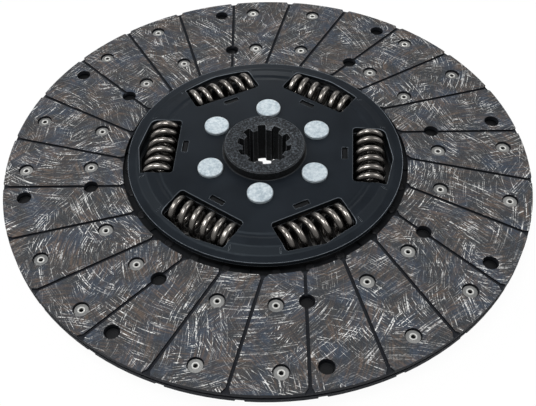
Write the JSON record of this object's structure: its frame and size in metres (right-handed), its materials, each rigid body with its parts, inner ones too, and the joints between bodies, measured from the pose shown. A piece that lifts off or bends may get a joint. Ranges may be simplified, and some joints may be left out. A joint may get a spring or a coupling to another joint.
{
  "type": "clutch disc",
  "caption": "Dry clutch disc with a splined hub, sprung torsion damper and two grooved riveted friction facings.",
  "frame": {"origin": "on the shaft axis, halfway between the two friction faces, inside the hub's splined bore", "axes": "+Z along the shaft axis, out of the side with the cover plate; +X through the middle of one damper spring"},
  "size_m": [0.43, 0.43, 0.042],
  "materials": {
    "hub_steel": "dark grey phosphated forged steel",
    "black_plate": "black satin coated sheet steel",
    "washer_lining": "moulded friction lining",
    "ring_steel": "plain pressed steel",
    "spring_steel": "tempered and oiled spring steel",
    "bush_plastic": "black moulded bearing plastic",
    "zinc_pin": "pale zinc plate with a mottled surface",
    "segment_steel": "blued spring-steel sheet",
    "dark_rivet": "phosphated steel",
    "friction_facing": "ground woven yarn and resin with bright wire",
    "bright_rivet": "tin-plated steel"
  },
  "bodies": {
    "disc": {"cover_plate": "black_plate", "drive_plate": "black_plate", "friction_washer_front": "washer_lining", "friction_washer_rear": "washer_lining", "lugged_ring": "ring_steel", "disc_spring": "spring_steel", "hub_bush_front": "bush_plastic", "hub_bush_rear": "bush_plastic", "stop_pins": "zinc_pin", "cushion_segment_1": "segment_steel", "cushion_segment_2": "segment_steel", "cushion_segment_3": "segment_steel", "cushion_segment_4": "segment_steel", "cushion_segment_5": "segment_steel", "cushion_segment_6": "segment_steel", "cushion_segment_7": "segment_steel", "cushion_segment_8": "segment_steel", "segment_rivets": "dark_rivet", "facing_front": "friction_facing", "facing_rear": "friction_facing", "facing_rivets_front": "bright_rivet", "facing_rivets_rear": "bright_rivet", "facing_rivets_through": "bright_rivet"},
    "hub": {"hub": "hub_steel"},
    "springs": {"damper_spring_1": "spring_steel", "damper_spring_2": "spring_steel", "damper_spring_3": "spring_steel", "damper_spring_4": "spring_steel", "damper_spring_5": "spring_steel", "damper_spring_6": "spring_steel"}
  },
  "joints": [
    {"name": "damper_twist", "type": "hinge", "parent": "disc", "child": "hub", "pos_m": [0, 0, 0], "axis": [0, 0, 1], "range_deg": [-6, 6], "stiffness_Nm_per_rad": 60, "deforming": ["damper_spring_1", "damper_spring_2", "damper_spring_3", "damper_spring_4", "damper_spring_5", "damper_spring_6"]},
    {"name": "spring_travel", "type": "hinge", "parent": "disc", "child": "springs", "pos_m": [0, 0, 0], "axis": [0, 0, 1], "range_deg": [-3, 3]}
  ],
  "couplings": [
    {"joint": "spring_travel", "follows": "damper_twist", "ratio": 0.5}
  ]
}
